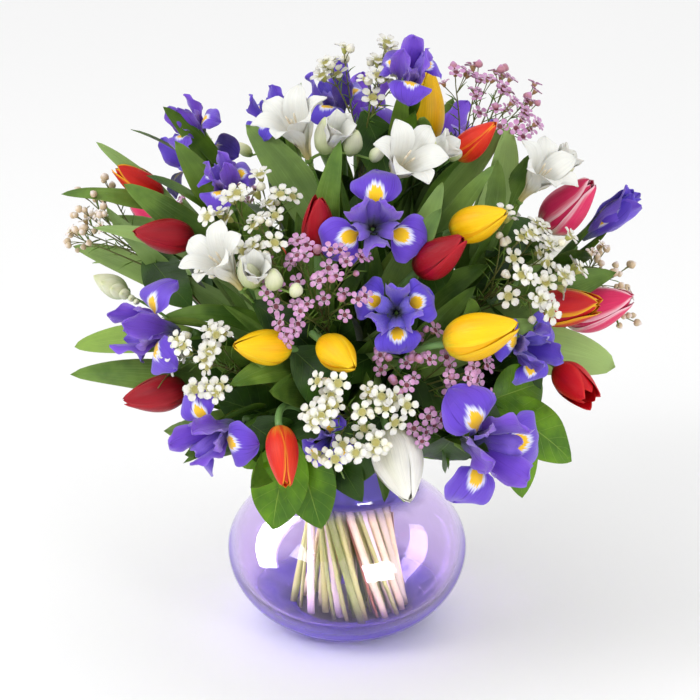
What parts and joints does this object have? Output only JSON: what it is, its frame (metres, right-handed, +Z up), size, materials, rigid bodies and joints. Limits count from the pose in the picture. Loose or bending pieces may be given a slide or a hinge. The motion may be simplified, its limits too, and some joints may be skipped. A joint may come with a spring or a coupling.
{
  "type": "cut flowers in a vase",
  "caption": "Round bouquet of tulips, irises, freesias and waxflower standing in a squat lilac glass bubble vase with a short collar.",
  "frame": {"origin": "centre of the vase's flat base, on the table", "axes": "+Z up along the vase's axis; -Y is the bouquet's front"},
  "size_m": [0.4513, 0.4659, 0.5118],
  "materials": {
    "vase_glass": "clear lilac glass, polished",
    "tulip_crimson": "satin petals",
    "tulip_scarlet": "satin petals",
    "tulip_orange": "satin petals",
    "tulip_flame": "satin petals with yellow edges",
    "tulip_yellow": "satin petals",
    "tulip_pink": "satin petals with pale edges",
    "tulip_white": "satin petals",
    "iris_violet": "velvety petals with a yellow signal",
    "iris_blue": "velvety petals with a yellow signal",
    "freesia_white": "satin petals",
    "waxflower_white": "waxy small petals",
    "waxflower_pink": "waxy small petals",
    "waxflower_buds": "round buds",
    "leaf_green": "leaves and stems, satin"
  },
  "bodies": {
    "root": {"vase": "vase_glass", "tulip_flame_left": "tulip_flame", "tulip_red_left": "tulip_crimson", "tulip_red_centre": "tulip_crimson", "tulip_red_right": "tulip_crimson", "tulip_orange_top": "tulip_orange", "tulip_yellow_top": "tulip_yellow", "tulip_yellow_upper": "tulip_yellow", "tulip_yellow_right": "tulip_yellow", "tulip_yellow_front": "tulip_yellow", "tulip_yellow_left": "tulip_yellow", "tulip_pink_right": "tulip_pink", "tulip_flame_right": "tulip_flame", "tulip_pink_far": "tulip_pink", "tulip_red_low_left": "tulip_crimson", "tulip_red_low_right": "tulip_scarlet", "tulip_orange_low": "tulip_orange", "tulip_white_low": "tulip_white", "iris_top_left": "iris_violet", "iris_upper_left": "iris_violet", "iris_top_mid_left": "iris_blue", "iris_top": "iris_blue", "iris_top_right": "iris_violet", "iris_centre": "iris_violet", "iris_centre_low": "iris_blue", "iris_left": "iris_violet", "iris_low_left": "iris_violet", "iris_low_small": "iris_blue", "iris_low_right": "iris_violet", "iris_right": "iris_blue", "iris_far_right": "iris_blue", "freesia_top_left": "freesia_white", "freesia_top_right": "freesia_white", "freesia_right": "freesia_white", "freesia_left": "freesia_white", "freesia_buds_left": "freesia_white", "wax_white_left": "waxflower_white", "wax_white_low_left": "waxflower_white", "wax_white_low": "waxflower_white", "wax_white_right": "waxflower_white", "wax_white_top": "waxflower_white", "wax_pink_centre": "waxflower_pink", "wax_pink_low": "waxflower_pink", "wax_pink_top": "waxflower_pink", "wax_buds_left": "waxflower_buds", "wax_buds_right": "waxflower_buds", "salal_front": "leaf_green", "salal_right": "leaf_green", "tulip_back_yellow": "tulip_yellow", "tulip_back_red": "tulip_crimson", "tulip_back_pink": "tulip_pink", "tulip_back_flame": "tulip_flame", "tulip_back_white": "tulip_white", "iris_back_top": "iris_violet", "iris_back_left": "iris_blue", "iris_back_mid": "iris_violet", "iris_back_right": "iris_violet", "freesia_back": "freesia_white", "wax_back_white": "waxflower_white", "wax_back_pink": "waxflower_pink"}
  },
  "joints": []
}
